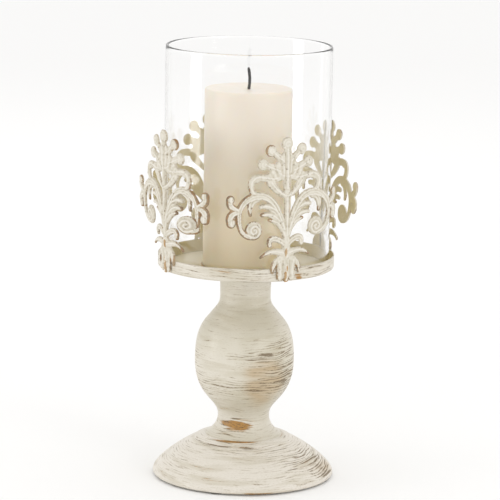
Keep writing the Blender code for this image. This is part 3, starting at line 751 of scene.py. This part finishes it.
# The right half of a panel as strokes of a broad pen: Bezier control points (across, up), the
# pen's half widths along them, and how high the stroke's middle stands over the sheet.
LEAF_STROKES = (
    # the tab on the rim: its middle bead, the strips beside it and the drops outside them
    (((0, 14), (0, 1.8)), (3.2, 2.2), 0.6),
    (((0, 17.5), (0, 12)), (9.5, 8.0), 0.25),
    (((5.4, 16), (5.4, 3.9)), (3.6, 3.1), 0.6),
    (((5, 20), (11, 18), (13, 12), (12.3, 8)), (3.0, 2.6, 1.0), 0.9),
    # the stalk
    (((0, 18), (0, 34)), (7.0, 3.2), 0.8),
    (((0, 30), (0, 58)), (3.4, 2.6), 1.4),
    (((0, 58), (0, 90)), (2.2, 3.6), 1.3),
    # two small leaves at its foot
    (((2, 24.5), (9, 27), (17, 28), (23.6, 21.8)), (3.2, 2.4, 0.9), 1.0),
    (((1.5, 32), (5.5, 37), (17.5, 41), (15.6, 32.4)), (2.4, 2.7, 2.3), 1.2),
    # the ribs of the big leaf
    (((1, 38), (4, 48), (9, 52), (16.3, 53.4)), (2.2, 2.2, 1.3), 1.1),
    (((1, 42), (6, 54), (13, 60), (23, 58)), (2.6, 3.2, 1.6), 1.3),
    (((1, 44), (7, 60), (14, 67), (24, 65)), (2.6, 3.4, 2.0), 1.4),
    # the scroll: out over the top, down the outside and back to its round end
    (((1, 42), (6, 60), (13, 75.5), (28, 74.2)), (2.2, 3.0, 3.4), 1.5),
    (((28, 74.2), (41, 73), (47, 63), (43.8, 51)), (3.4, 3.0, 2.3), 1.4),
    (((43.8, 51), (42, 43), (36, 38.5), (30, 41)), (2.3, 2.3, 3.0), 1.2),
    (((30.5, 45.2), (30.5, 45.4)), (7.9, 7.9), 1.3),
    # the lobe that hangs inside the scroll, and the two curls outside it
    (((27, 72), (33, 71), (35, 66), (33.6, 58.6)), (3.0, 3.0, 1.4), 1.1),
    (((44.5, 63), (48, 65), (54, 66), (52.6, 72)), (2.3, 3.1, 2.7), 1.3),
    (((51.9, 72.2), (51.9, 72.4)), (3.8, 3.8), 1.6),
    (((45, 61), (51.5, 62), (54, 56.5), (51.2, 52)), (2.6, 3.7, 3.3), 1.3),
    (((51.0, 52.8), (51.0, 53.0)), (4.3, 4.3), 1.6),
    # the side arm that loops back to the scroll
    (((9, 90), (16, 87.5), (22, 90), (28.4, 89.4)), (4.0, 3.2, 2.9), 1.3),
    (((23, 89.6), (23.1, 89.6)), (3.0, 3.0), 1.5),
    (((28.4, 88.6), (35, 88.5), (34.4, 79), (29.5, 75.5)), (3.5, 2.8, 2.6), 1.3),
    # the calyx and the body of the palmette
    (((0, 73), (4, 74), (9.5, 77), (15, 85.5)), (2.5, 2.4, 4.0), 1.2),
    (((0, 96), (0, 105)), (10.4, 6.4), 1.5),
    (((5, 92.8), (15, 88.6)), (6.0, 4.8), 1.3),
    (((6, 98), (13, 94)), (5.2, 3.4), 1.2),
    # its five fingers, each ending in a ball
    (((0, 104), (0, 117)), (4.2, 2.7), 1.4),
    (((0, 116.9), (0, 117.5)), (5.4, 5.4), 1.9),
    (((3, 103), (8, 106), (11, 109), (14.6, 112)), (3.8, 2.8, 2.4), 1.3),
    (((15.0, 111.9), (15.1, 112.0)), (4.9, 4.9), 1.8),
    (((6, 95), (12, 96.5), (16.5, 99), (21.8, 101)), (4.6, 3.4, 2.5), 1.3),
    (((22.1, 100.6), (22.2, 100.6)), (4.9, 4.9), 1.8),
)

# Lines pressed into the relief, on the same half: control points, half width, height. A negative
# height is a groove.
LEAF_LINES = (
    # edge of the scroll
    (((3, 46), (8, 62), (15, 72.5), (28, 72.2)), 0.8, 0.7),
    (((28, 72.2), (39.5, 71), (44.6, 62), (41.8, 51.5)), 0.8, 0.7),
    (((41.8, 51.5), (40.5, 44.5), (36, 40.6), (30.5, 39.7)), 0.8, 0.6),
    (((8, 60), (13, 73), (22, 76.6), (31, 75.4)), 0.6, -0.5),
    (((31, 75.4), (41, 72.5), (45.5, 63), (44.2, 52)), 0.6, -0.5),
    # veins of the leaf ribs
    (((2, 40), (5, 49), (9, 52.4), (15, 53.2)), 0.6, 0.5),
    (((2.5, 45), (7, 55), (13, 59.5), (21, 58.4)), 0.6, 0.5),
    (((3, 48), (8, 61), (14, 66.4), (22, 65.4)), 0.6, 0.5),
    (((4.5, 52), (9, 62.5), (15, 63.2), (20, 61.8)), 0.7, -0.6),
    # lip and waist of the calyx
    (((0, 73.4), (4, 74.4), (9.3, 77.4), (14.6, 85)), 0.7, 0.5),
    (((0, 90), (4, 90), (8, 92), (10, 96)), 0.8, 0.5),
    # middle rib with a groove on each side
    (((0, 40), (0, 72)), 0.7, 0.5),
    (((0, 80), (0, 113)), 0.9, 0.6),
    (((2.2, 82), (2.4, 110)), 0.6, -0.6),
    # grooves and ridges that run from the calyx up between the fingers
    (((4.6, 92), (5.4, 97), (5.8, 101), (7.4, 106.5)), 1.3, -0.7),
    (((9, 90.5), (10.4, 93), (11, 97), (12.9, 102)), 1.2, -0.7),
    (((10.6, 87), (13, 88.6), (14.6, 91), (16.4, 95.4)), 1.0, -0.5),
    # veins of the fingers, arm and curls
    (((4, 103), (8, 105.6), (11, 108.6), (13.4, 111)), 0.6, 0.5),
    (((7, 94.6), (12, 96.3), (17, 99), (21, 100.5)), 0.6, 0.5),
    (((10, 88.4), (17, 88), (22, 91), (28.5, 90.2)), 0.7, 0.6),
    (((28, 90.2), (35, 88.5), (34.6, 80), (30.5, 76.5)), 0.6, 0.5),
    (((45.5, 63.5), (48.5, 66), (52.4, 67), (52, 74)), 0.7, 0.6),
    (((46, 60.6), (51.5, 60), (53.6, 54), (50.4, 49.5)), 0.7, 0.6),
    (((28.5, 71.5), (33, 70.4), (34.6, 66), (33.7, 60)), 0.6, -0.5),
    # veins of the two small leaves
    (((3, 25), (9, 27.2), (17, 27.6), (22.6, 22.8)), 0.6, 0.5),
    (((2.5, 33), (6.5, 37.8), (16.2, 40.2), (15.8, 32.4)), 0.7, -0.5),
    # the teardrop, the long bead and the leaves beside it on the tab
    (((0, 22), (0, 28)), 1.7, 0.8),
    (((0, 2.5), (0, 13)), 1.5, 0.8),
    (((3.4, 4), (3.2, 18)), 0.7, -0.55),
    (((6.2, 4), (5.2, 12), (6.8, 18)), 1.1, 0.5),
    (((8.6, 10), (8.8, 17)), 0.6, -0.45),
)

LINE_STEPS = 14            # pieces of each curve
LINE_DEPTH = 0.9           # factor on the heights above
FULL_PEN = 2.4             # a stroke's middle is lower where its half width is less than this
VOLUTE = (30.5, 45.2)
VOLUTE_TURNS = 1.45
SPIRAL_R = 5.7             # the spiral in a volute starts at this radius
SPIRAL_CLOSING = 3.3       # and loses this much a turn
SPIRAL_LINE = (0.85, 1.1)  # half width, height
BALL_RING = 0.62           # radius of the ring in a ball, as a share of the ball's
FAR = 1e6

# Middle (across, up) and radius of each ball
BALLS = ((0, 117.2, 5.4), (15.05, 111.95, 4.9), (22.15, 100.6, 4.9), (51.9, 72.3, 3.8),
         (51.0, 52.9, 4.3))

# Where the brown coat shows along the edges of the whole panel: (across, up), reach, strength
WORN = (((-52, 70), 9, 1.0), ((-52, 54), 9, 1.0), ((-40, 74), 7, 0.9), ((-36, 43), 9, 0.8),
        ((-26, 41), 5, 0.5), ((-46, 64), 6, 0.8), ((-24, 22), 4, 1.0), ((-12.5, 12), 5, 0.9),
        ((-17, 34), 5, 0.6), ((-33.5, 59), 3, 1.3), ((-24, 58), 2.5, 1.2), ((-17, 53), 2.5, 0.9),
        ((-18, 113), 5, 0.8), ((50, 50), 5, 0.9), ((52, 73), 4, 0.6), ((16.5, 53), 2.5, 0.9),
        ((34, 59), 3, 0.8), ((12, 13), 5, 0.6), ((23, 22), 3, 0.5), ((18, 115), 3, 0.4),
        ((0, 0), 3, 0.9), ((-8, 4), 3, 0.5))
# And where it shows on the middle bead; the reach is along the bead
WORN_BEAD = (((-1.0, 25), 3.2, 1.3), ((-0.8, 6), 3.6, 1.2), ((0.6, 12), 2.4, 0.9))

NUDGE = 0.01               # step for the slope of the distance to the outline
SNAP_SHARE = 0.42          # points move to the outline from this share of the grid's step
ON_FOLD = 1e-4             # points closer to the middle than this are on the fold
RING_R = 1.3               # a point is compared with the relief on a ring of this radius
RING_POINTS = 6
RING_CONTRAST = 0.35       # a difference of this height counts in full


def line_points(points):
    """Points along a straight line or a quadratic or cubic Bezier curve."""
    if len(points) == 2:
        return [np.array(p, dtype=float) for p in points]
    if len(points) == 3:
        a, b, c = [np.array(p, dtype=float) for p in points]
        points = (a, a + (b - a) * 2 / 3, c + (b - c) * 2 / 3, c)
    return cubic(*points, LINE_STEPS)


def near_line(u, v, path):
    """Yields, for each piece of a path, the distance of every point from it, and where along."""
    count = len(path) - 1
    for i, (a, b) in enumerate(zip(path, path[1:])):
        step = b - a
        t = ((u - a[0]) * step[0] + (v - a[1]) * step[1]) / np.dot(step, step)
        t = np.clip(t, 0.0, 1.0)
        yield np.hypot(u - a[0] - t * step[0], v - a[1] - t * step[1]), (i + t) / count


def outline_and_relief(u, v):
    """Of points of the flat panel: signed distance to the outline, and height of the relief."""
    u = np.abs(u)
    edge = np.full(u.shape, FAR)
    height = np.zeros(u.shape)
    for points, widths, rise in LEAF_STROKES:
        pens = np.linspace(0.0, 1.0, len(widths))
        for reach, along in near_line(u, v, line_points(points)):
            pen = np.interp(along, pens, widths)
            edge = np.minimum(edge, reach - pen)
            bulge = np.sqrt(np.clip(1.0 - (reach / pen) ** 2, 0.0, 1.0))
            height = np.maximum(height, rise * np.minimum(pen / FULL_PEN, 1.0) * bulge)
    return edge, height


def pressed_lines(u, v):
    """Height that the fine lines, the volutes and the rings of the balls add."""
    u = np.abs(u)
    added = np.zeros(u.shape)
    spiral = []
    for t in np.linspace(0.0, VOLUTE_TURNS, 34):
        radius, angle = SPIRAL_R - SPIRAL_CLOSING * t, -pi / 2 - 2 * pi * t
        spiral.append(np.array(VOLUTE) + radius * np.array((cos(angle), sin(angle))))
    paths = [(line_points(points), width, height) for points, width, height in LEAF_LINES]
    paths.append((spiral, *SPIRAL_LINE))
    for path, width, height in paths:
        closest = np.min([reach for reach, _ in near_line(u, v, path)], axis=0)
        added += LINE_DEPTH * height * np.exp(-(closest / width) ** 2)
    for across, up, radius in BALLS:
        ring = np.abs(np.hypot(u - across, v - up) - BALL_RING * radius)
        added -= 0.3 * np.exp(-(ring / 0.6) ** 2)
    return added


def surface(u, v):
    """Signed distance to the outline, how far from the rim inwards (0 to 1), and the relief."""
    edge, bulge = outline_and_relief(u, v)
    inside = np.clip(-edge, 0.0, 1.0)
    return edge, inside, bulge + pressed_lines(u, v) * inside


def flat_panel():
    """Points (across, up) and triangles of the whole flat panel, cut smoothly at its outline.

    The right half is a grid. Its points near the outline are moved onto it, what lies outside is
    cut away, and the half is mirrored.
    """
    columns = int(PANEL_HALF_WIDTH / PANEL_GRID)
    rows = int(PANEL_TOP / PANEL_GRID)
    bm = bmesh.new()
    bmesh.ops.create_grid(bm, x_segments=columns, y_segments=rows, size=0.5)
    u = np.array([(vert.co.x + 0.5) * columns * PANEL_GRID for vert in bm.verts])
    v = np.array([(vert.co.y + 0.5) * rows * PANEL_GRID for vert in bm.verts])
    edge, _ = outline_and_relief(u, v)
    slope_u = (outline_and_relief(u + NUDGE, v)[0] - edge) / NUDGE
    slope_v = (outline_and_relief(u, v + NUDGE)[0] - edge) / NUDGE
    slope_u[u < ON_FOLD] = 0.0
    steep = np.maximum(slope_u ** 2 + slope_v ** 2, 0.25)
    close = np.abs(edge) < SNAP_SHARE * PANEL_GRID
    u = np.where(close, u - edge * slope_u / steep, u)
    v = np.where(close, v - edge * slope_v / steep, v)
    edge = np.where(close, 0.0, edge)
    for vert, across, up, depth in zip(bm.verts, u, v, edge):
        vert.co = (across, up, depth)
    bmesh.ops.triangulate(bm, faces=bm.faces[:])
    bmesh.ops.bisect_plane(bm, geom=bm.verts[:] + bm.edges[:] + bm.faces[:], dist=1e-5,
                           plane_co=(0, 0, 0), plane_no=(0, 0, 1), clear_outer=True)
    bmesh.ops.triangulate(bm, faces=bm.faces[:])
    bm.verts.index_update()
    points = np.array([vert.co[:2] for vert in bm.verts])
    triangles = np.array([[vert.index for vert in face.verts] for face in bm.faces])
    bm.free()
    points[np.abs(points[:, 0]) < ON_FOLD, 0] = 0.0
    away = points[:, 0] > 0.0
    mirrored = np.where(away, len(points) + np.cumsum(away) - 1, np.arange(len(points)))
    whole = np.concatenate((points, points[away] * (-1, 1)))
    return whole, np.concatenate((triangles, mirrored[triangles][:, ::-1]))


def open_edges(triangles):
    """Directed edges that only one triangle has."""
    edges = np.concatenate((triangles[:, (0, 1)], triangles[:, (1, 2)], triangles[:, (2, 0)]))
    present = {tuple(edge) for edge in edges.tolist()}
    return [edge for edge in present if edge[::-1] not in present]


def fold_points(u, v, depth, bends):
    """The folded panel's points: the tab hugs the rim, the wings fold and the whole leans out."""
    left, right, lean = [tan(radians(angle)) for angle in bends[1:4]]
    twist, curl = bends[4:]
    t = np.clip((v - PANEL_BEND_START) / (PANEL_BEND_END - PANEL_BEND_START), 0.0, 1.0)
    fade = t * t * (3 - 2 * t)
    crease = TRAY_R + GAP + PANEL_SHEET / 2
    crease = crease + np.maximum(v - PANEL_BEND_START, 0.0) * lean
    inward = (1 - fade) * u * u / (2 * TRAY_R)
    inward = inward + fade * (np.maximum(u, 0.0) * right + np.maximum(-u, 0.0) * left)
    away = np.hypot(u - VOLUTE[0], v - VOLUTE[1])
    near = np.clip((VOLUTE_REACH[1] - away) / (VOLUTE_REACH[1] - VOLUTE_REACH[0]), 0.0, 1.0)
    inward = inward + twist * (u - VOLUTE[0]) * near * near * (3 - 2 * near)
    inward = inward + curl * np.maximum(u - CURL_HINGE, 0.0)
    return np.stack((u, inward - crease - depth, PLATE_Z - TRAY_SHEET + v), axis=1) * MM


def unevenness(u, v, seed):
    """Small bumps of a hand-finished sheet, other ones for each seed."""
    return np.array([noise.noise(Vector((a * 0.24, b * 0.24, seed))) * 0.55
                     + noise.noise(Vector((a * 0.9, b * 0.9, seed + 9.0))) * 0.14
                     for a, b in zip(u, v)])


def worn_weight(u, v, edge, flip):
    """How far the paint is rubbed off; flip mirrors the worn spots."""
    u = -u if flip else u
    rim = np.clip(1.0 + (edge + 0.4) / 1.3, 0.0, 1.0)
    weight = 0.30 * rim
    for (across, up), reach, strength in WORN:
        near = np.exp(-((u - across) ** 2 + (v - up) ** 2) / reach ** 2)
        weight = weight + strength * near * rim
    for (across, up), reach, strength in WORN_BEAD:
        near = np.exp(-((u - across) / 1.1) ** 2 - ((v - up) / reach) ** 2)
        weight = weight + strength * near
    return weight


def hollows_and_ridges(u, v, relief):
    """How much lower and how much higher each point is than the ring round it, each 0 to 1."""
    around = np.zeros(u.shape)
    for k in range(RING_POINTS):
        angle = k * 2 * pi / RING_POINTS
        edge, _, side = surface(u + RING_R * cos(angle), v + RING_R * sin(angle))
        around += np.where(edge < 0.0, side, relief) / RING_POINTS
    height = (relief - around) / RING_CONTRAST
    return np.clip(-height, 0.0, 1.0), np.clip(height, 0.0, 1.0)


def crease(u, v):
    """The inner side's groove along the fold, wider low down, which is also its painted shade, and
    the painted highlight line beside it.
    """
    width = 1.1 + 0.7 * np.clip((58.0 - v) / 20.0, 0.0, 1.0)
    groove = np.exp(-(u / width) ** 2) * np.clip((v - 9.0) / 6.0, 0.0, 1.0)
    light = np.exp(-((u - 2.9) / 0.9) ** 2) * np.clip((v - 40.0) / 10.0, 0.0, 1.0)
    return groove, light


def leaf_pieces(outer_mat, inner_mat):
    """The four panels: one pressed sheet, bent four ways.

    Attributes: "hollow_dirt_and_shade" and "ridge_highlight" follow the relief outside, and the
    crease and its light line inside: painted shade in the hollows, with grey-brown dirt outside,
    and in the crease, and painted highlights on the ridges and beside the crease; "worn" bares the
    brown coat, and "bead" is the middle bead low on the outer side.
    """
    points, triangles = flat_panel()
    u, v = points.T
    edge, inside, relief = surface(u, v)
    hollow_dirt_and_shade, ridge_highlight = hollows_and_ridges(u, v, relief)
    groove, light = crease(u, v)
    bead = np.exp(-(u / 1.8) ** 2) * (v < 30.0)
    back = -EDGE_INNER + INNER_ECHO * relief + CREASE_DEPTH * groove
    count = len(points)
    faces = triangles.tolist()
    faces += (triangles[:, ::-1] + count).tolist()
    faces += [(b, a, a + count, b + count) for a, b in open_edges(triangles)]
    sides = np.zeros(len(faces), np.int32)
    sides[len(triangles):2 * len(triangles)] = 1
    for k in range(PANEL_COUNT):
        bends = PANEL_BENDS[k]
        uneven = unevenness(u, v, 3.7 * k + 1.0) * inside
        front_points = fold_points(u, v, EDGE_OUTER + np.maximum(relief + uneven, -0.1), bends)
        back_points = fold_points(u, v, back, bends)
        name = f"leaf_{k + 1}"
        mesh = smooth_mesh(name, np.concatenate((front_points, back_points)), faces, 60.0)
        place = k * 2 * pi / PANEL_COUNT + radians(bends[0])
        mesh.transform(Matrix.Rotation(place, 4, "Z"))
        worn = worn_weight(u, v, np.minimum(edge, 0.0), k in (1, 3))
        store(mesh, "worn", np.concatenate((worn, worn * 0.6)))
        # Painted shade in the hollows and the crease, painted highlights on the ridges and beside
        # the crease
        store(mesh, "hollow_dirt_and_shade", np.concatenate((hollow_dirt_and_shade, groove)))
        store(mesh, "ridge_highlight", np.concatenate((ridge_highlight, light)))
        store(mesh, "bead", np.concatenate((bead, bead * 0)))
        finished(name, mesh, [outer_mat, inner_mat], "pedestal", "leaf_paint",
                 f"leaf_panel_{k + 1}")
        mesh.polygons.foreach_set("material_index", sides)


# ---------------- camera, floor and light

CAMERA_TURN = radians(-27.0)  # round Z, from looking along +Y
CAMERA_PLACE = (-5.35, -2480.5, 667.57)
CAMERA_YAW = 0.0035           # this and the next two in radians
CAMERA_PITCH = 0.1869
CAMERA_ROLL = 0.017
CAMERA_LENS = 210.55
CAMERA_SENSOR = 36.0
CAMERA_CLIP = 50.0

# Name, polar angle in degrees, height, distance from the axis and size in metres, power in watts
LIGHTS = (("key", 166.0, 0.25, 1.6, 0.5, 3.2),
          ("fill", -74.0, 0.55, 1.6, 0.5, 3.2),
          ("back", 70.0, 1.5, 1.8, 0.8, 2.5))
LIGHT_AIM = (0.0, 0.0, 0.18)
FLOOR_R = 14.0                # metres
FLOOR_WHITE = (0.955, 0.955, 0.955)
SKY_WHITE = (1.0, 0.995, 0.985, 1.0)


def add_camera():
    """A long lens, turned about its own axes by the yaw, the pitch and the roll."""
    data = bpy.data.cameras.new("camera")
    data.lens = CAMERA_LENS
    data.sensor_width = CAMERA_SENSOR
    data.clip_end = CAMERA_CLIP
    camera = placed("camera", data)
    look = Vector((cos(CAMERA_PITCH) * sin(CAMERA_YAW), cos(CAMERA_PITCH) * cos(CAMERA_YAW),
                   -sin(CAMERA_PITCH)))
    right = Vector((cos(CAMERA_YAW), -sin(CAMERA_YAW), 0.0))
    up = right.cross(look)
    across = cos(CAMERA_ROLL) * right + sin(CAMERA_ROLL) * up
    upright = cos(CAMERA_ROLL) * up - sin(CAMERA_ROLL) * right
    facing = Matrix((across, upright, -look)).transposed().to_4x4()
    place = Matrix.Translation(Vector(CAMERA_PLACE) * MM)
    camera.matrix_world = Matrix.Rotation(CAMERA_TURN, 4, "Z") @ place @ facing
    bpy.context.scene.camera = camera


def add_light(name, bearing, height, distance, size, power):
    """A square soft box that looks at the aim."""
    data = bpy.data.lights.new(name, "AREA")
    data.size = size
    data.energy = power
    light = placed(name, data)
    angle = radians(bearing)
    light.location = (distance * cos(angle), distance * sin(angle), height)
    look = Vector(LIGHT_AIM) - light.location
    light.rotation_euler = look.to_track_quat("-Z", "Y").to_euler()


def add_stage():
    """The pale floor, an even white sky and the lights."""
    bpy.ops.mesh.primitive_circle_add(vertices=128, radius=FLOOR_R, fill_type="NGON")
    floor = bpy.context.object
    floor.name = "floor"
    s = Shader("floor")
    s.set(Base_Color=FLOOR_WHITE, Roughness=0.9, Specular_IOR_Level=0.1)
    floor.data.materials.append(s.mat)
    world = bpy.data.worlds.new("studio")
    world.use_nodes = True
    sky = world.node_tree.nodes["Background"]
    sky.inputs["Color"].default_value = SKY_WHITE
    sky.inputs["Strength"].default_value = 1.0
    bpy.context.scene.world = world
    for light in LIGHTS:
        add_light(*light)
    view = bpy.context.scene.view_settings
    view.view_transform = "Standard"
    view.look = "None"


# ---------------- assembly

STEEL_NODES = ("foot_disc", "neck_disc", "head_washer", "tie_bolt", "clamp_washer",
               "lock_washer", "clamp_nut")


def dress_frame(steel, pad):
    """Materials of the CAD nodes that no piece replaces."""
    for name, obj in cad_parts.items():
        if name in STEEL_NODES or name.startswith("felt_pad"):
            obj.data.materials.clear()
            obj.data.materials.append(steel if name in STEEL_NODES else pad)


add_camera()
add_stage()
paint = brushed_paint("cream_paint_brushed")
base_piece(paint)
stem_piece(paint)
tray_piece(paint, tray_inside())
leaf_pieces(leaf_paint_outer(), leaf_paint_inner())
candle_piece(wax())
wick_piece(cotton())
glass_piece(clear_glass())
dress_frame(zinc_steel(), felt())
